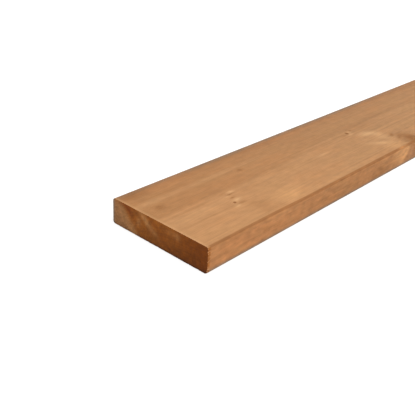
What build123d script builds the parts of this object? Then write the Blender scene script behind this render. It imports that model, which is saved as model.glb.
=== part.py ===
from build123d import *
import os

# A planed softwood plank: one straight length of timber, sawn square at both
# ends, with its four long edges rounded over so that they don't splinter.
# It lies flat on its wide face. The length runs along X, the width along Y
# and the thickness along Z. The origin is the middle of the underside.
# All sizes are in millimetres.

# Stock sizes
plank_length = 1800.0
plank_width = 145.0
plank_thickness = 32.0
long_edge_radius = 3.5

# The section stands on the underside's plane, centred on the length's axis,
# and is drawn out the same way to both ends.
with BuildPart() as plank:
    with BuildSketch(Plane.YZ) as section:
        Rectangle(plank_width, plank_thickness, align=(Align.CENTER, Align.MIN))
    extrude(amount=plank_length / 2, both=True)
    long_edges = plank.edges().filter_by(Axis.X)
    fillet(long_edges, radius=long_edge_radius)

plank.part.label = "plank"

os.makedirs("parts", exist_ok=True)
export_step(plank.part, "parts/plank.step")
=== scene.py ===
import math

import bpy
import numpy as np
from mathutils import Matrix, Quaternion, Vector


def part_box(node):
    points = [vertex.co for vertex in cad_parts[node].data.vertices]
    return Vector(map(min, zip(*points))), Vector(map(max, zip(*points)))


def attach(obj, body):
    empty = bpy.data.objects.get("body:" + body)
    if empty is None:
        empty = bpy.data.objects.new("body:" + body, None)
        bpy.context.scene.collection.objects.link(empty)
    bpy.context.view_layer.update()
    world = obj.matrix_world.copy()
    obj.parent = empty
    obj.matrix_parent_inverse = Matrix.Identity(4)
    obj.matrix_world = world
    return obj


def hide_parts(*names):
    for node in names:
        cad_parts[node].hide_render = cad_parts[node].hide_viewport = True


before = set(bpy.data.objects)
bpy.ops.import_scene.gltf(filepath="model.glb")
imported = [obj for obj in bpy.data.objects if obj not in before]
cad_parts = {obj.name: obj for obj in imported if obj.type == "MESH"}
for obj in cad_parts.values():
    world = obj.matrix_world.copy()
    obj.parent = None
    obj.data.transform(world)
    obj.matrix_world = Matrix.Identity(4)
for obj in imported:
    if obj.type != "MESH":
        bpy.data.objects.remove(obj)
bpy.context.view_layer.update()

# A planed softwood plank, treated brown. Places and sizes are in millimetres
# from the near end along the length, from the middle across the width, and
# from the underside upwards. The right-hand side is the one at minus y, as seen
# from the near end. MM turns millimetres into Blender's metres.
MM = 0.001
LOW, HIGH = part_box("plank")
LENGTH, WIDTH, THICKNESS = (HIGH - LOW) / MM
HALF_WIDTH = WIDTH / 2
EDGE_RADIUS = 3.5

# The heart of the tree ran above the top face, right of the middle. Its line
# sways a little along the plank, across and up, so the rings sway with it.
PITH_ACROSS = -37.0
PITH_HEIGHT = 95.0
SWAY_ACROSS, SWAY_ACROSS_LENGTH = 5, 310
SWAY_UP, SWAY_UP_LENGTH = 3, 270
RING_WIDTH = 3.0

# In shares of a year: where its dark late wood starts, is full and fades again
LATE_START, LATE_FULL, LATE_FADES = 0.35, 0.88, 0.93

# Knots: place along, place across the top face, radius there, darkness.
# Each grew out from the pith, so it widens towards the underside.
KNOTS = (
    (21.5, 20.5, 3.6, 0.08),
    (94.0, -25.8, 1.9, 0.95),
    (103.5, -8.6, 1.8, 0.15),
    (101.0, -16.2, 1.4, 0.25),
    (164.8, 26.8, 2.6, 0.20),
    (377.4, 6.2, 2.6, 1.00),
    (391.0, 9.5, 1.8, 0.25),
    (440.0, -62.0, 9.5, 0.30),
    (768.0, 33.0, 5.0, 0.75),
    (776.0, -24.0, 3.4, 0.85),
    (782.0, -61.0, 6.0, 0.60),
    (1102.0, 3.0, 2.8, 0.80),
    (1113.0, 48.0, 7.5, 0.70),
    (1421.0, -43.0, 6.5, 0.70),
    (1432.0, 22.0, 3.2, 0.90),
    (1441.0, 58.0, 5.5, 0.60),
    (1702.0, -17.0, 3.6, 0.80),
    (1713.0, 44.0, 6.0, 0.65),
)
KNOT_LEAN = 0.16

# In shares of a knot's radius: where its wood fades and ends, the middle and the
# half width of the line round it, and how far off and how much it pushes the rings
KNOT_FADES, KNOT_ENDS = 0.55, 1.25
KNOT_LINE, KNOT_LINE_WIDTH = 1.05, 0.22
PUSH_REACH, PUSH = 2.4, 1.1
LEAST_GIRTH = 0.05

# Patches of the top face, where the fibres dive round a knot or lie close; the pale
# ones round the knots are partly painted sheen, the light that the diving fibres throw
# back: along, across, half length, half width, turn, strength.
PALE_FLECKS = (
    (101.8, -22.6, 6.0, 2.8, 0.00, 1.00),
    (91.5, -32.6, 4.5, 2.6, 0.00, 0.80),
    (109.5, -5.0, 5.5, 2.2, 0.00, 0.80),
    (98.5, -10.8, 5.0, 1.8, 0.00, 0.40),
    (380.0, 6.4, 7.5, 5.5, 0.15, 0.32),
    (376.5, 0.6, 6.0, 2.2, 0.00, 0.28),
    (385.0, 6.6, 2.6, 2.6, 0.30, 0.15),
    (400.0, -12.5, 14.5, 6.5, -0.22, 0.66),
    (411.0, -22.5, 9.0, 6.5, -0.50, 0.42),
    (377.0, -23.0, 6.0, 5.0, 0.20, 0.14),
    (407.0, -34.0, 10.0, 6.0, -0.30, 0.32),
    (385.0, -44.5, 19.0, 4.2, -0.56, 0.40),
    (396.0, -38.0, 26.0, 26.0, 0.00, 0.14),
    (288.0, -14.0, 16.0, 2.2, 0.00, 0.35),
    (20.0, 36.5, 30.0, 6.0, 0.00, 0.22),
    (120.0, 35.5, 100.0, 4.5, 0.00, 0.22),
    (45.0, -17.0, 45.0, 9.0, 0.00, 0.14),
)
WARM_FLECKS = (
    (160.0, -58.0, 17.0, 9.0, 0.15, 0.52),
    (150.0, -47.0, 22.0, 7.0, 0.10, 0.22),
    (392.0, -60.0, 16.0, 7.5, 0.00, 0.50),
    (400.0, -66.0, 9.0, 4.0, 0.00, 0.25),
)
BROWN_PATCHES = (
    (98.0, -31.2, 9.0, 1.8, 0.00, 0.55),
    (104.0, -9.0, 6.0, 1.5, 0.10, 0.75),
    (101.5, -16.5, 4.5, 1.4, 0.10, 0.60),
    (164.9, 26.4, 5.5, 4.6, 0.00, 0.45),
    (391.0, 9.5, 4.5, 2.0, 0.10, 0.35),
    (387.0, 13.0, 4.5, 2.0, 0.20, 0.30),
    (367.0, 4.8, 6.0, 2.6, 0.00, 0.30),
    (425.0, -38.5, 6.5, 3.2, 0.50, 0.76),
    (424.0, -52.5, 7.0, 2.4, 0.50, 0.30),
    (433.0, -46.0, 11.0, 6.0, 0.40, 0.48),
    (437.0, -61.5, 16.0, 12.0, 0.20, 0.90),
    (430.0, -69.0, 9.0, 4.0, 0.00, 0.35),
    (114.0, -50.0, 15.0, 11.0, 0.30, 0.26),
    (20.0, 60.0, 16.0, 8.0, 0.00, 0.50),
    (23.0, 21.0, 7.5, 6.0, 0.00, 0.50),
    (204.0, -7.5, 22.0, 3.5, 0.00, 0.22),
    (42.0, -5.3, 40.0, 2.0, 0.00, 0.32),
    (56.0, -40.5, 9.0, 5.0, 0.00, 0.12),
    (107.0, -39.0, 8.0, 7.0, 0.30, 0.16),
    (111.0, -64.0, 15.0, 7.0, 0.00, 0.17),
    (133.0, -65.0, 8.0, 7.0, 0.00, 0.12),
    (138.0, -12.0, 22.0, 3.5, 0.00, 0.20),
    (102.0, -3.0, 9.0, 2.0, 0.00, 0.22),
    (335.0, 4.5, 50.0, 4.0, 0.00, 0.11),
    (418.0, 7.0, 28.0, 8.0, 0.00, 0.20),
    (72.0, 10.0, 24.0, 2.2, 0.00, 0.18),
    (40.0, 44.5, 45.0, 2.4, 0.00, 0.22),
    (45.0, -30.0, 42.0, 1.5, 0.00, 0.22),
)

# Patches of the right-hand side, with heights in place of the second number; the pale
# ones by the large knot are partly painted sheen, as on the top face
PALE_FLANK = (
    (388.0, 21.0, 13.0, 9.0, 0.00, 0.60),
    (401.0, 26.0, 11.0, 7.0, 0.00, 0.24),
    (409.0, 17.0, 8.0, 8.0, 0.50, 0.65),
    (416.0, 25.5, 7.0, 5.0, 0.00, 0.50),
    (400.0, 9.0, 10.0, 4.0, 0.00, 0.50),
    (120.0, 26.0, 22.0, 5.0, 0.00, 0.18),
    (350.0, 24.5, 8.0, 3.5, 0.00, 0.22),
)
BROWN_FLANK = (
    (338.0, 7.0, 20.0, 4.5, 0.05, 0.90),
    (340.0, 15.0, 9.0, 3.0, -0.30, 0.60),
    (349.0, 16.5, 8.0, 3.5, 0.00, 0.35),
    (331.0, 28.0, 7.0, 3.0, 0.00, 0.40),
    (374.0, 15.5, 9.0, 3.5, 0.00, 0.25),
    (419.0, 9.0, 8.0, 5.0, 0.00, 0.45),
    (431.0, 29.0, 7.0, 4.0, 0.00, 0.60),
    (382.0, 7.0, 5.0, 3.0, 0.00, 0.30),
    (91.0, 22.5, 5.0, 3.5, 0.00, 0.28),
    (212.0, 13.0, 30.0, 3.5, 0.00, 0.25),
    (96.0, 18.0, 12.0, 3.0, -0.10, 0.35),
    (120.0, 15.5, 8.0, 3.0, 0.00, 0.30),
    (272.0, 14.0, 8.0, 3.0, 0.00, 0.30),
)

# Patches of the sawn ends: across, up, half width, half height, turn, strength
PALE_END = (
    (-29.0, 25.0, 4.0, 4.0, 0.00, 0.35),
    (-20.0, 26.0, 8.0, 4.0, 0.00, 0.18),
    (30.0, 18.5, 3.5, 6.0, 0.20, 0.40),
    (57.0, 14.0, 6.0, 4.0, 0.00, 0.20),
    (40.0, 11.0, 5.0, 4.0, 0.00, 0.20),
)
DARK_END = (
    (-4.0, 15.5, 8.0, 7.0, 0.00, 0.42),
    (11.0, 16.0, 4.0, 4.0, 0.00, 0.30),
    (-20.0, 7.0, 8.0, 3.0, 0.00, 0.30),
    (44.0, 30.5, 10.0, 3.0, 0.00, 0.50),
    (61.0, 31.0, 10.0, 4.0, 0.00, 0.50),
)

# Rings that stand out on the sawn ends: distance from the pith, half width, strength
DARK_YEARS = (
    (82.0, 2.3, 0.50),
    (96.8, 2.2, 0.20),
    (108.2, 4.2, 1.00),
)
PALE_YEARS = (
    (90.3, 3.7, 0.88),
    (118.5, 4.4, 0.85),
)

# How far the saw's hub stood right of the middle and below the plank, and how far
# apart its arcs lie
SAW_RIGHT, SAW_BELOW = 60, 190
SAW_PITCH = 3.1

# Where the wood round the large knot comes out at the right-hand edge, and where
# the greyed rims start to fade and have faded
EDGE_KNOT = 400
GREY_FADES, GREY_FADED = 450, 700


def paint(red, green, blue):
    """A colour given as a screen shows it, as the linear colour that nodes take."""
    parts = [part / 255 for part in (red, green, blue)]
    linear = [p / 12.92 if p < 0.04 else ((p + 0.055) / 1.055) ** 2.4 for p in parts]
    return (*linear, 1.0)


PLANED = paint(199, 146, 98)
PLANED_DULL = paint(183, 130, 83)
PLANED_FAR = paint(173, 129, 87)
LATEWOOD = paint(166, 110, 68)
WARM_WOOD = paint(205, 139, 84)
OLIVE_WOOD = paint(181, 136, 86)
PALE_WOOD = paint(231, 181, 129)
WARM_PALE = paint(229, 170, 112)
KNOT_WOOD = paint(124, 70, 22)
BROWN_WOOD = paint(153, 102, 56)
# A grey for the rims; along the side's underside it serves as painted shade
RIM_AND_SHADE_GREY = paint(131, 112, 91)
ARRIS_WOOD = paint(150, 99, 57)
FLANK_WOOD = paint(190, 130, 81)
FLANK_FAR = paint(174, 120, 73)
END_TAN = paint(168, 118, 74)
END_BROWN = paint(158, 91, 27)
END_DARK = paint(127, 64, 4)
END_LINE = paint(124, 59, 6)
END_PALE = paint(198, 139, 82)
ROUGHNESS = 0.62
SHEEN = 0.12

# Streaks along the grain: length and breadth, then how much they lighten or darken
BROAD_STREAKS, BROAD_CONTRAST = (330, 6.0), 0.20
THIN_STREAKS, THIN_CONTRAST = (280, 1.6), 0.23
FIBRES, FIBRE_CONTRAST, END_FIBRE_CONTRAST = (130, 0.5), 0.42, 0.65

# How far in from the sides their own colour starts and is full
FLANK_START, FLANK_FULL = 1.9, 0.3

# The grey of the rims, which along the side's underside is painted shade: how strong it is, and
# the heights between which that painted shade fades
RIM_GREY = 0.75
LOW_SHADE_FADES, LOW_SHADE_FADED = 2.5, 7.0

# The brown band along the rounded edges: its strength, and how far the knot breaks it
BAND_STRENGTH = 0.84
BAND_BREAK = 0.78

# The dull wood's boundary: its slope through the thickness, how far it moves to the
# left along the plank, and how far it wavers
DULL_SLOPE = 0.9
DULL_STEP = 11
DULL_WAVER = 16

# Distances from the pith between which the sawn ends' outer, tan wood starts
TAN_START, TAN_FULL = 111, 122


class Value:
    """A socket of a node tree. Arithmetic on it adds Math nodes to that tree."""

    def __init__(self, graph, socket):
        self.graph = graph
        self.socket = socket

    def maths(self, operation, *terms):
        return self.graph.maths(operation, self, *terms)

    def __add__(self, other):
        return self.maths("ADD", other)

    def __sub__(self, other):
        return self.maths("SUBTRACT", other)

    def __rsub__(self, other):
        return self.graph.maths("SUBTRACT", other, self)

    def __mul__(self, other):
        return self.maths("MULTIPLY", other)

    def __truediv__(self, other):
        return self.maths("DIVIDE", other)

    __radd__ = __add__
    __rmul__ = __mul__

    def __abs__(self):
        return self.maths("ABSOLUTE")

    def times_plus(self, factor, base):
        """The value times a factor, plus a base, in one node."""
        return self.maths("MULTIPLY_ADD", factor, base)

    def ramp(self, low, high):
        """0 below low and 1 above high, with a smooth rise between them."""
        settings = {"interpolation_type": "SMOOTHSTEP"}
        return self.graph.add("ShaderNodeMapRange", settings, {0: self, 1: low, 2: high})

    def bell(self, centre, half_width):
        """1 at the centre, falling smoothly to nearly 0 at twice the half width."""
        off = (self - centre) / half_width
        return (off * off).fall()

    def fall(self):
        """1 at a value of 0, falling towards 0 as the value grows."""
        return self.graph.maths("POWER", 1 / math.e, self)


class Graph:
    """A node tree, of a material or of geometry, that expressions add to."""

    def __init__(self, tree):
        self.tree = tree

    def add(self, kind, settings=None, sockets=None, output=0):
        """A node of that kind: its settings first, then the values or links of its sockets."""
        node = self.tree.nodes.new(kind)
        for name, value in (settings or {}).items():
            setattr(node, name, value)
        for key, value in (sockets or {}).items():
            if isinstance(value, Value):
                self.tree.links.new(value.socket, node.inputs[key])
            else:
                node.inputs[key].default_value = value
        return Value(self, node.outputs[output] if node.outputs else None)

    def maths(self, operation, *terms):
        return self.add("ShaderNodeMath", {"operation": operation}, dict(enumerate(terms)))

    def vector(self, x, y, z):
        return self.add("ShaderNodeCombineXYZ", None, {0: x, 1: y, 2: z})

    def vector_maths(self, operation, *terms, output=0):
        settings = {"operation": operation}
        return self.add("ShaderNodeVectorMath", settings, dict(enumerate(terms)), output)

    def parts(self, vector):
        """The x, y and z of a vector, as three values."""
        node = self.add("ShaderNodeSeparateXYZ", None, {0: vector}).socket.node
        return [Value(self, socket) for socket in node.outputs]

    def noise(self, x, y, z, detail=1.0):
        """Smooth noise about 0, mostly between -0.25 and 0.25."""
        sockets = {"Vector": self.vector(x, y, z), "Scale": 1.0, "Detail": detail}
        return self.add("ShaderNodeTexNoise", None, sockets) - 0.5

    def blend(self, amount, first, second):
        """The first colour, turning into the second as the amount goes from 0 to 1."""
        settings = {"data_type": "RGBA"}
        return self.add("ShaderNodeMix", settings, {0: amount, 6: first, 7: second}, 2)

    def shade(self, colour, factor):
        """The colour made lighter or darker by a factor."""
        sockets = {0: colour, 3: factor}
        return self.add("ShaderNodeVectorMath", {"operation": "SCALE"}, sockets)


def patches(picked, along, across):
    """How far a point lies in soft oval patches, from 0 to about 1."""
    graph = along.graph
    place = graph.vector(along, across, 1.0)
    share = 0.0
    for centre_along, centre_across, half_length, half_width, turn, strength in picked:
        centre = Vector((centre_along, centre_across))
        long_axis = Vector((math.cos(turn), math.sin(turn))) / half_length
        wide_axis = Vector((-math.sin(turn), math.cos(turn))) / half_width
        square = 0.0
        for axis in (long_axis, wide_axis):
            terms = (*axis, -axis.dot(centre))
            off = graph.vector_maths("DOT_PRODUCT", place, terms, output=1)
            square = off.times_plus(off, square)
        share = square.fall().times_plus(strength, share)
    return share


class Wood:
    """The tree's wood at each point of a graph: rings, knots and fibres, as values."""

    def __init__(self, graph, position):
        self.graph = graph
        from_end = graph.vector_maths("SUBTRACT", position, (LOW.x, 0, 0))
        self.point = graph.vector_maths("MULTIPLY", from_end, (1 / MM,) * 3)
        self.x, self.y, self.z = graph.parts(self.point)
        self.off_end = self.x.maths("MINIMUM", LENGTH - self.x)
        self.set_knots()
        self.set_rings()

    def set_knots(self):
        """How much of the point is knot, and how far knots push the rings outwards."""
        self.knot = 0.0
        self.knot_edge = 0.0
        self.push = 0.0
        for along, across, radius, darkness in KNOTS:
            root = Vector((along, PITH_ACROSS, PITH_HEIGHT))
            face = Vector((along, across, THICKNESS))
            reach = (face - root).length
            heading = (face - root).normalized() + Vector((KNOT_LEAN, 0, 0))
            heading.normalize()
            root.x = along - KNOT_LEAN * reach
            arm = self.graph.vector_maths("SUBTRACT", self.point, tuple(root))
            out = self.graph.vector_maths("DOT_PRODUCT", arm, tuple(heading), output=1)
            sideways = self.graph.vector_maths("CROSS_PRODUCT", arm, tuple(heading))
            off = self.graph.vector_maths("LENGTH", sideways, output=1)
            girth = (out * (radius / reach)).maths("MAXIMUM", LEAST_GIRTH)
            share = off / girth
            inside = 1 - share.ramp(KNOT_FADES, KNOT_ENDS)
            line = share.bell(KNOT_LINE, KNOT_LINE_WIDTH)
            self.knot = inside.times_plus(darkness, self.knot)
            self.knot_edge = line.times_plus(darkness, self.knot_edge)
            self.push = (share.bell(0.0, PUSH_REACH) * girth).times_plus(PUSH, self.push)

    def set_rings(self):
        """The distance from the pith, and the ring that the point lies in."""
        side = self.y - PITH_ACROSS - (self.x / SWAY_ACROSS_LENGTH).maths("SINE") * SWAY_ACROSS
        drop = PITH_HEIGHT - self.z - (self.x / SWAY_UP_LENGTH).maths("SINE") * SWAY_UP
        waver = self.cloud(170, 34) * 3.0 + self.cloud(45, 10) * 0.8
        self.radius = (side * side + drop * drop).maths("SQRT") + waver - self.push
        self.turn = side.maths("ARCTAN2", drop)
        uneven = self.graph.noise(self.radius / 9, 2.7, 9.1) * 2.4
        age = self.radius / RING_WIDTH + uneven
        self.season = age.maths("FRACT")
        year = {"noise_dimensions": "1D"}
        self.vigour = self.graph.add("ShaderNodeTexWhiteNoise", year, {"W": age.maths("FLOOR")})

    def cloud(self, length, breadth, seed=0.0, detail=1.0):
        """Soft clouds that long and that broad, which take no notice of the rings."""
        x, y, z = self.x / length + seed, self.y / breadth, self.z / breadth
        return self.graph.noise(x, y, z, detail)

    def fibre(self, length, breadth, detail=2.0):
        """Streaks that long and that broad, which follow the rings and bend round knots."""
        around = self.turn * ((PITH_HEIGHT - THICKNESS) / breadth)
        return self.graph.noise(self.x / length, self.radius / breadth, around, detail)

    def years(self, picked):
        """How far a point lies in the rings that stand out, from 0 to about 1."""
        share = 0.0
        for radius, half_width, strength in picked:
            share = self.radius.bell(radius, half_width).times_plus(strength, share)
        return share

    def late_wood(self):
        """The dark, hard line at the end of each year's ring, stronger in some years."""
        line = self.season.ramp(LATE_START, LATE_FULL) * (1 - self.season.ramp(LATE_FADES, 1.0))
        return line * (self.vigour * 0.8 + 0.2)

    def saw_marks(self):
        """Faint arcs that a circular saw leaves across a sawn end, from 0 to 1."""
        across, up = self.y + SAW_RIGHT, self.z + SAW_BELOW
        sweep = (across * across + up * up).maths("SQRT")
        beat = (sweep * (math.tau / SAW_PITCH)).maths("SINE") * 0.5 + 0.5
        return beat * (self.cloud(20, 9, 4.2) * 2 + 0.6)


# The plank's own mesh: flat grids with rounded edges, and a grid over each sawn end.
# Its rows lie closer in the near part, and crowd together at the ends and the knots.
ARC_PIECES = 4
FLAT_PITCH = 0.95
ROWS = 226
FINE_LENGTH = 460.0
FINE_SPACING, COARSE_SPACING = 6, 14
END_CROWD, END_CROWD_REACH = 0.9, 1.6
KNOT_CROWD, KNOT_CROWD_REACH = 0.25, 2.2
COUNTING_PLACES = 6001

# How the saw leaves the ends' rims: worn a little all round, and torn here and there
# on the right-hand side and, less, on the underside
RIM_WEAR, RIM_WEAR_RAGGED, RIM_WEAR_REACH = 0.10, 0.12, 0.5
TORN_FROM, TORN_DEPTH, TORN_REACH = 0.5, 1.9, 3.2
TORN_UNDERSIDE = 0.4
NEAR_SEED, FAR_SEED = 5, 6

# Depths of the relief
SOFT_DEPTH = 0.06
HOLLOW_DEPTH = 0.10
PIT_DEPTH, DEEPEST_PIT = 0.10, 0.2
SAW_DEPTH, LEAST_SAW_DEPTH = 0.05, 0.02


def outline():
    """The section's points in turn, from its lower right corner, and how many each side has.

    A point is given by its arc's centre, across and up, and by the angle that it faces.
    """
    inner_across = HALF_WIDTH - EDGE_RADIUS
    inner_up = THICKNESS - EDGE_RADIUS
    centres = np.array(
        (
            (-inner_across, EDGE_RADIUS),
            (inner_across, EDGE_RADIUS),
            (inner_across, inner_up),
            (-inner_across, inner_up),
        )
    )
    columns, pieces = [], []
    for side in range(4):
        start, stop = centres[side], centres[(side + 1) % 4]
        facing = math.pi * (1.5 + 0.5 * side)
        flat = round(np.linalg.norm(stop - start) / FLAT_PITCH)
        turns = np.linspace(-math.pi / 4, 0, ARC_PIECES + 1)[:-1]
        columns += [(*start, facing + turn) for turn in turns]
        columns += [(*(start + (stop - start) * step / flat), facing) for step in range(flat + 1)]
        columns += [(*stop, facing - turn) for turn in turns[:0:-1]]
        pieces.append(flat + 2 * ARC_PIECES)
    return np.array(columns), pieces


def row_places():
    """Places of the rows of points along the length: closest at the ends and the knots."""
    x = np.linspace(0, LENGTH, COUNTING_PLACES)
    crowd = np.where(x < FINE_LENGTH, 1 / FINE_SPACING, 1 / COARSE_SPACING)
    for end in (0, LENGTH):
        crowd += END_CROWD * np.exp(-(((x - end) / END_CROWD_REACH) ** 2))
    for along, _, radius, _ in KNOTS:
        crowd += KNOT_CROWD * np.exp(-(((x - along) / (KNOT_CROWD_REACH * radius)) ** 2))
    reached = np.concatenate([[0], np.cumsum((crowd[1:] + crowd[:-1]) / 2)])
    return np.interp(np.linspace(0, reached[-1], ROWS), reached, x)


def saw_wear(off_end, columns, rng):
    """How far each point near a sawn end is worn back, ragged where the saw broke out."""
    ragged = rng.random(len(columns))
    ragged = 0.6 * ragged + 0.4 * np.roll(ragged, 1)
    right_side = np.clip(-np.cos(columns[:, 2]), 0, 1)
    underside = np.clip(-np.sin(columns[:, 2]) - 0.2, 0, 1)
    worn = RIM_WEAR + RIM_WEAR_RAGGED * ragged
    torn = np.clip(ragged - TORN_FROM, 0, 1) * (right_side + underside * TORN_UNDERSIDE)
    worn_share = max(0.0, 1 - off_end / RIM_WEAR_REACH) ** 2
    return worn * worn_share + torn * TORN_DEPTH * max(0.0, 1 - off_end / TORN_REACH)


def cap_faces(first, inner, pieces, count, outward):
    """Quads of a grid over one sawn end, between the outline's points and its inner ones."""
    across, up = pieces[0], pieces[1]

    def point(i, j):
        if j == 0:
            return first + i
        if i == across:
            return first + across + j
        if j == up:
            return first + across + up + (across - i)
        if i == 0:
            return first + (2 * across + up + (up - j)) % count
        return inner + (i - 1) * (up - 1) + (j - 1)

    faces = []
    for i in range(across):
        for j in range(up):
            quad = (point(i, j), point(i + 1, j), point(i + 1, j + 1), point(i, j + 1))
            faces.append(quad if outward else quad[::-1])
    return faces


def cap_points(ring, pieces):
    """Inner points of a grid over one sawn end, spread evenly between its four sides."""
    across, up = pieces[0], pieces[1]
    bottom = ring[: across + 1]
    left = ring[across : across + up + 1]
    top = ring[across + up : 2 * across + up + 1][::-1]
    right = np.concatenate([ring[2 * across + up :], ring[:1]])[::-1]
    u = np.linspace(0, 1, across + 1)[1:-1, None, None]
    v = np.linspace(0, 1, up + 1)[None, 1:-1, None]
    upwards = bottom[1:-1, None] * (1 - v) + top[1:-1, None] * v
    sideways = right[None, 1:-1] * (1 - u) + left[None, 1:-1] * u
    low_corners = bottom[0] * (1 - u) + bottom[-1] * u
    high_corners = top[0] * (1 - u) + top[-1] * u
    corners = low_corners * (1 - v) + high_corners * v
    return (upwards + sideways - corners).reshape(-1, 3)


def plank_mesh():
    """The whole plank as one closed mesh, with its rounded edges and worn saw cuts."""
    columns, pieces = outline()
    count = len(columns)
    rays = np.stack([np.cos(columns[:, 2]), np.sin(columns[:, 2])], axis=1)
    rings = []
    for x in row_places():
        near = x < LENGTH / 2
        off_end = x if near else LENGTH - x
        rng = np.random.default_rng(NEAR_SEED if near else FAR_SEED)
        wear = saw_wear(off_end, columns, rng)
        around = columns[:, :2] + rays * (EDGE_RADIUS - wear[:, None])
        rings.append(np.column_stack([np.full(count, x), around]))
    near_cap, far_cap = cap_points(rings[0], pieces), cap_points(rings[-1], pieces)

    faces = []
    for row in range(ROWS - 1):
        first, second = row * count, (row + 1) * count
        for column in range(count):
            after = (column + 1) % count
            faces.append((first + column, first + after, second + after, second + column))
    inner = ROWS * count
    faces += cap_faces(0, inner, pieces, count, False)
    faces += cap_faces((ROWS - 1) * count, inner + len(near_cap), pieces, count, True)

    places = np.concatenate(rings + [near_cap, far_cap]) * MM
    places[:, 0] += LOW.x
    mesh = bpy.data.meshes.new("planed_plank")
    mesh.from_pydata(places.tolist(), [], faces)
    mesh.validate()
    return mesh


def carve(piece):
    """Lowers the soft wood between the ring lines, and cuts the saw's marks into the ends."""
    tree = bpy.data.node_groups.new("raised_grain", "GeometryNodeTree")
    for way in ("INPUT", "OUTPUT"):
        tree.interface.new_socket("Geometry", in_out=way, socket_type="NodeSocketGeometry")
    graph = Graph(tree)
    geometry = graph.add("NodeGroupInput")
    wood = Wood(graph, graph.add("GeometryNodeInputPosition"))
    normal = graph.parts(graph.add("GeometryNodeInputNormal"))

    soft = (1 - wood.late_wood()) * SOFT_DEPTH
    hollow = (wood.cloud(210, 60) + 0.4).maths("MAXIMUM", 0.0) * HOLLOW_DEPTH
    pit = (wood.knot_edge * PIT_DEPTH).maths("MINIMUM", DEEPEST_PIT)
    depth = (soft + hollow + pit) * wood.off_end.ramp(0.05, 2.0) * -MM
    sawn = wood.saw_marks() * SAW_DEPTH + soft + LEAST_SAW_DEPTH
    on_end = 1 - wood.off_end.ramp(0.0, 0.05)
    inwards = (LENGTH / 2 - wood.x).maths("SIGN") * (sawn * on_end) * MM
    offset = graph.vector(inwards, normal[1] * depth, normal[2] * depth)
    moved = graph.add("GeometryNodeSetPosition", None, {"Geometry": geometry, "Offset": offset})
    graph.add("NodeGroupOutput", None, {"Geometry": moved})

    modifier = piece.modifiers.new("raised_grain", "NODES")
    modifier.node_group = tree
    shaped = piece.evaluated_get(bpy.context.evaluated_depsgraph_get())
    carved = bpy.data.meshes.new_from_object(shaped)
    piece.modifiers.clear()
    piece.data = carved


def treated_wood():
    """The finish: planed faces with fine ring lines and knots, and darker sawn ends."""
    material = bpy.data.materials.new("treated_softwood")
    material.use_nodes = True
    material.node_tree.nodes.clear()
    graph = Graph(material.node_tree)
    wood = Wood(graph, graph.add("ShaderNodeTexCoord", None, None, "Object"))
    facing = graph.add("ShaderNodeNewGeometry", None, None, "True Normal")
    sawn = abs(graph.parts(facing)[0]).ramp(0.45, 0.65)
    fine = wood.fibre(*FIBRES)
    late = wood.late_wood()

    colour = graph.blend(sawn, planed_colour(wood, late, fine), end_colour(wood, late, fine))
    height = fine * 0.03 + late * 0.02
    bump = graph.add("ShaderNodeBump", None, {"Distance": MM, "Height": height, "Strength": 1.0})
    sockets = {
        "Base Color": colour,
        "Roughness": ROUGHNESS + fine * 0.2 - late * 0.08,
        "Normal": bump,
        "Specular IOR Level": SHEEN,
    }
    finish = graph.add("ShaderNodeBsdfPrincipled", None, sockets)
    graph.add("ShaderNodeOutputMaterial", None, {"Surface": finish})
    return material


def planed_colour(wood, late, fine):
    """The colour of the planed faces and rounded edges."""
    flank = abs(wood.y).ramp(HALF_WIDTH - FLANK_START, HALF_WIDTH - FLANK_FULL)
    right_half = 1 - wood.y.ramp(-10, 10)
    past_knot = (wood.x - wood.z * 0.55).ramp(EDGE_KNOT + 4, EDGE_KNOT + 13)
    rims_along = 1 - wood.x.ramp(GREY_FADES, GREY_FADED) * 0.6

    colour = clear_wood(wood, flank, past_knot, rims_along)
    colour = clouded(wood, colour, flank, late)
    colour = patched(wood, colour, flank, flank * right_half, past_knot)
    colour = edged(wood, colour, right_half)
    # Painted shade: the side's lowest few millimetres, next to the floor, turned grey and darker
    low_painted_shade = (1 - wood.z.ramp(LOW_SHADE_FADES, LOW_SHADE_FADED)) * flank * rims_along
    colour = wood.graph.blend(low_painted_shade * RIM_GREY, colour, RIM_AND_SHADE_GREY)
    colour = torn_rim(wood, colour, flank)

    contrast = wood.x.ramp(40, 240) * 0.6 + 0.75
    broad = wood.fibre(*BROAD_STREAKS) * BROAD_CONTRAST
    thin = wood.fibre(*THIN_STREAKS) * THIN_CONTRAST
    mottle = wood.cloud(13, 6, 7.7, 2) * (flank * 0.45 + 0.3)
    tone = 1 + (broad + thin) * contrast + mottle + fine * FIBRE_CONTRAST
    return wood.graph.shade(colour, tone)


def clear_wood(wood, flank, past_knot, rims_along):
    """The broad colours of the planed faces, without their grain."""
    graph = wood.graph
    # The dull, denser wood runs through the board from its top left.
    depth = THICKNESS - wood.z
    sloped = wood.y + depth * DULL_SLOPE - wood.x.ramp(200, 340) * DULL_STEP
    dull = sloped + wood.cloud(240, 60, 5.2) * DULL_WAVER
    colour = graph.blend(dull.ramp(-8, 5), PLANED, PLANED_DULL)
    colour = graph.blend(wood.x.ramp(20, 440) * 0.62, colour, PLANED_FAR)
    colour = graph.blend(wood.y.ramp(48, 64) * 0.4, colour, LATEWOOD)
    left_rim = wood.y.ramp(60, 69) * (wood.x.ramp(0, 220) * 0.3 + 0.45)
    colour = graph.blend(left_rim * rims_along, colour, RIM_AND_SHADE_GREY)

    far_share = wood.x.ramp(60, 270) * (1 - past_knot * 0.8)
    flank_colour = graph.blend(far_share, FLANK_WOOD, FLANK_FAR)
    return graph.blend(flank, colour, flank_colour)


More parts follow.
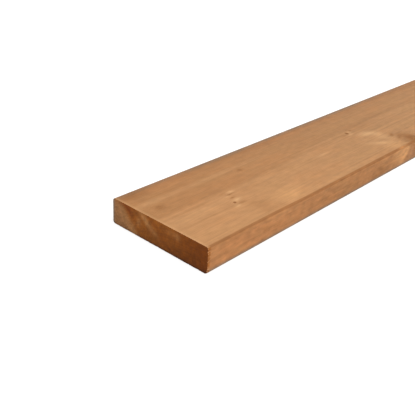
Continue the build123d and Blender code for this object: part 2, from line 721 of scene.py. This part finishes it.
def clouded(wood, colour, flank, late):
    """The colour with its warm and olive clouds, and with the lines of the late wood."""
    graph = wood.graph
    warmth = wood.cloud(48, 18, 2.1) * 0.5 + wood.cloud(14, 8, 6.6) * (flank * 0.4 + 0.2)
    colour = graph.blend((warmth * 1.3).maths("MAXIMUM", 0.0), colour, WARM_WOOD)
    colour = graph.blend((warmth * -1.3).maths("MAXIMUM", 0.0), colour, OLIVE_WOOD)
    lined = (wood.cloud(110, 26, 7.3) + 0.18).maths("MAXIMUM", 0.0)
    return graph.blend(late * lined * 0.7, colour, LATEWOOD)


def patched(wood, colour, flank, right, past_knot):
    """The colour with its pale and brown patches, with ragged edges, and with its knots."""
    graph = wood.graph
    ragged_x = wood.x + wood.cloud(16, 5, 3.3, 2) * 9
    ragged_y = wood.y + wood.cloud(22, 6, 8.4, 2) * 3
    ragged_z = wood.z + wood.cloud(14, 5, 1.9, 2) * 5

    top = wood.z.ramp(THICKNESS - 9, THICKNESS - 3) * (1 - flank)
    # Round the knots the pale flecks are partly painted sheen from the diving fibres
    colour = graph.blend(patches(PALE_FLECKS, ragged_x, ragged_y) * top * 0.8, colour, PALE_WOOD)
    colour = graph.blend(patches(WARM_FLECKS, ragged_x, ragged_y) * top * 0.8, colour, WARM_PALE)
    colour = graph.blend(patches(BROWN_PATCHES, ragged_x, ragged_y) * top, colour, BROWN_WOOD)

    greyer_below = 0.3 - wood.z.ramp(10, 22) * 0.2
    grey = past_knot * greyer_below * (1 - wood.x.ramp(GREY_FADES, GREY_FADES + 70))
    colour = graph.blend(grey * right, colour, RIM_AND_SHADE_GREY)
    # The pale patches by the large knot are partly painted sheen
    pale_flank = patches(PALE_FLANK, ragged_x, ragged_z) * (1 - past_knot)
    colour = graph.blend(pale_flank * right * 0.8, colour, WARM_PALE)
    colour = graph.blend(patches(BROWN_FLANK, ragged_x, ragged_z) * right, colour, BROWN_WOOD)
    return graph.blend(wood.knot * 0.8 + wood.knot_edge * 0.15, colour, KNOT_WOOD)


def edged(wood, colour, right_half):
    """The colour with the browner band along its rounded edges, which the edge knot breaks."""
    graph = wood.graph
    slip = wood.x.ramp(100, 190) * 1.2
    from_side = abs(wood.y) - (HALF_WIDTH - EDGE_RADIUS - 1.0) - slip
    from_face = abs(wood.z - THICKNESS / 2) - (THICKNESS / 2 - EDGE_RADIUS + 0.5) + slip
    past_side, past_face = from_side.maths("MAXIMUM", 0.0), from_face.maths("MAXIMUM", 0.0)
    arris = (past_side * past_face).ramp(1.0, 6.5)
    knotty = wood.x.bell(EDGE_KNOT, 11) * right_half
    colour = graph.blend(arris * (1 - knotty * BAND_BREAK) * BAND_STRENGTH, colour, ARRIS_WOOD)
    warm = arris * wood.x.bell(EDGE_KNOT - 2, 7) * right_half
    return graph.blend(warm * 0.7, colour, WARM_WOOD)


def torn_rim(wood, colour, flank):
    """The planed faces' last few millimetres: paler, with dots of broken fibres on the sides."""
    graph = wood.graph
    faded = TORN_REACH * 1.6
    rim = 1 - wood.off_end.ramp(0.5, faded)
    colour = graph.blend(rim * (1 - flank) * 0.3, colour, PALE_WOOD)
    dots = wood.cloud(3.4, 1.7, 2.9)
    torn = flank * (1 - wood.off_end.ramp(TORN_REACH * 0.6, faded))
    colour = graph.blend(torn * dots.ramp(-0.2, 0.02) * 0.8, colour, END_BROWN)
    return graph.blend(torn * (1 - dots.ramp(-0.24, -0.1)) * 0.6, colour, PALE_WOOD)


def end_colour(wood, late, fine):
    """The colour of the sawn ends, where the treatment soaked into the open fibres, with painted
    shade towards the underside.
    """
    graph = wood.graph
    across = wood.y + wood.cloud(20, 15, 4.4, 2) * 16
    tan = wood.radius.ramp(TAN_START, TAN_FULL) * wood.y.ramp(-10, 30)
    colour = graph.blend(across.ramp(-66, 14), END_DARK, END_BROWN)
    colour = graph.blend(tan, colour, END_TAN)
    fade = wood.y.ramp(-6, 8)
    dark = late * 0.28 + wood.years(DARK_YEARS) * fade * wood.z.ramp(13, 25) * 0.8
    colour = graph.blend(dark * (wood.cloud(20, 9, 3.8) * 1.6 + 0.9), colour, END_LINE)
    pale = wood.years(PALE_YEARS) * fade * 0.7
    colour = graph.blend(pale * (wood.cloud(20, 8, 5.6) * 1.6 + 0.9), colour, END_PALE)
    colour = graph.blend(patches(PALE_END, wood.y, wood.z), colour, END_PALE)
    colour = graph.blend(patches(DARK_END, wood.y, wood.z), colour, END_LINE)
    left_rim = wood.y.ramp(HALF_WIDTH - 4.5, HALF_WIDTH - 1.5)
    near_end = 1 - wood.x.ramp(200, 400)
    colour = graph.blend(left_rim * near_end * RIM_GREY, colour, RIM_AND_SHADE_GREY)

    rays = graph.noise(wood.turn * 60, wood.radius / 20, 6.6, 2)
    mottle = wood.cloud(20, 5, 9.4, 2) * 0.95
    # Painted shade: the sawn end is darker towards the underside, and darker still along its
    # lowest edge next to the floor
    low_painted_shade = 1 - wood.z.ramp(0.6, 4.5)
    painted_shade_below = 1 + (wood.z / THICKNESS - 0.55) * (1 - tan) * 0.36 - low_painted_shade * 0.3
    sawn = (wood.saw_marks() - 0.3) * 0.12
    tone = 1 + fine * END_FIBRE_CONTRAST + rays * 0.35 + mottle + sawn
    return graph.shade(colour, tone * painted_shade_below)


def make_plank():
    piece = bpy.data.objects.new("planed_plank", plank_mesh())
    bpy.context.scene.collection.objects.link(piece)
    carve(piece)
    piece.data.shade_smooth()
    piece.data.set_sharp_from_angle(angle=math.radians(35))
    piece.data.materials.clear()
    piece.data.materials.append(treated_wood())
    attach(piece, "root")
    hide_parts("plank")


# The floor, the light and the camera, in metres
FLOOR_SIZE = 7.0
FLOOR_DROP = 0.0002
AMBIENT = 0.50
KEY_PLACE, KEY_AIM = (-0.2, -1.5, 2.6), (-0.3, 0, 0)
KEY_SIZE = 2.4
KEY_POWER = 63
WHITE = (1, 1, 1, 1)
FLOOR_GREY = (0.8, 0.8, 0.8, 1)
SHADOW_GREY = (0.45, 0.45, 0.45, 1)
FLOOR_GLOW = 0.78


def seen_directly(graph):
    """1 for rays that show the background: straight from the camera, or by a reflection."""
    path = graph.add("ShaderNodeLightPath").socket.node.outputs
    share = Value(graph, path["Is Camera Ray"])
    for ray in ("Is Glossy Ray", "Is Transmission Ray"):
        share = share.maths("MAXIMUM", Value(graph, path[ray]))
    return share


def make_floor():
    """A plain pale floor that shows white, with the plank's soft shadow on it."""
    half = FLOOR_SIZE / 2
    corners = [(x * half, y * half, 0) for x, y in ((-1, -1), (1, -1), (1, 1), (-1, 1))]
    mesh = bpy.data.meshes.new("floor")
    mesh.from_pydata(corners, [], [(0, 1, 2, 3)])
    floor = bpy.data.objects.new("floor", mesh)
    bpy.context.scene.collection.objects.link(floor)
    floor.location.z = -FLOOR_DROP
    material = bpy.data.materials.new("pale_floor")
    material.use_nodes = True
    material.node_tree.nodes.clear()
    graph = Graph(material.node_tree)
    plain = graph.add("ShaderNodeBsdfDiffuse", None, {"Color": FLOOR_GREY})
    shadowed = graph.add("ShaderNodeBsdfDiffuse", None, {"Color": SHADOW_GREY})
    glow = graph.add("ShaderNodeEmission", None, {"Color": WHITE, "Strength": FLOOR_GLOW})
    white = graph.add("ShaderNodeAddShader", None, {0: shadowed, 1: glow})
    seen = seen_directly(graph)
    surface = graph.add("ShaderNodeMixShader", None, {0: seen, 1: plain, 2: white})
    graph.add("ShaderNodeOutputMaterial", None, {"Surface": surface})
    mesh.materials.append(material)


def make_world():
    """White where it is seen, and a plain soft light everywhere else."""
    world = bpy.data.worlds.new("studio")
    world.use_nodes = True
    world.node_tree.nodes.clear()
    graph = Graph(world.node_tree)
    strength = seen_directly(graph) * (1 - AMBIENT) + AMBIENT
    light = graph.add("ShaderNodeBackground", None, {"Color": WHITE, "Strength": strength})
    graph.add("ShaderNodeOutputWorld", None, {"Surface": light})
    bpy.context.scene.world = world


def softbox(name, place, aim, size, power):
    """A square lamp at a place in metres, turned to shine at the aim."""
    lamp = bpy.data.lights.new(name, "AREA")
    lamp.shape = "SQUARE"
    lamp.size = size
    lamp.energy = power
    lamp_object = bpy.data.objects.new(name, lamp)
    lamp_object.location = place
    lamp_object.rotation_mode = "QUATERNION"
    lamp_object.rotation_quaternion = (Vector(aim) - Vector(place)).to_track_quat("-Z", "Y")
    bpy.context.scene.collection.objects.link(lamp_object)


# The camera looks down on the near end and the right-hand side, rolled by a few
# degrees. Its place is in metres from the middle of the near end's lower edge.
CAMERA_OFF_END = Vector((-0.4331, -0.4450, 0.3801))
CAMERA_HEADING = math.radians(48.94)
CAMERA_PITCH = math.radians(27.94)
CAMERA_ROLL = math.radians(3.51)
FOCAL_PIXELS = 675.7
IMAGE_PIXELS = 415
SENSOR_WIDTH = 36.0
CLOSEST_SEEN = 0.02


def make_camera():
    data = bpy.data.cameras.new("camera")
    data.sensor_width = SENSOR_WIDTH
    data.lens = FOCAL_PIXELS / IMAGE_PIXELS * SENSOR_WIDTH
    data.clip_start = CLOSEST_SEEN
    camera = bpy.data.objects.new("camera", data)
    bpy.context.scene.collection.objects.link(camera)
    level = math.cos(CAMERA_PITCH)
    look = Vector(
        (
            math.sin(CAMERA_HEADING) * level,
            math.cos(CAMERA_HEADING) * level,
            -math.sin(CAMERA_PITCH),
        )
    )
    camera.location = Vector((LOW.x, 0, 0)) + CAMERA_OFF_END
    camera.rotation_mode = "QUATERNION"
    roll = Quaternion((0, 0, 1), CAMERA_ROLL)
    camera.rotation_quaternion = look.to_track_quat("-Z", "Y") @ roll
    bpy.context.scene.camera = camera


make_plank()
make_floor()
make_world()
softbox("key_light", KEY_PLACE, KEY_AIM, KEY_SIZE, KEY_POWER)
make_camera()
bpy.context.scene.view_settings.view_transform = "Standard"
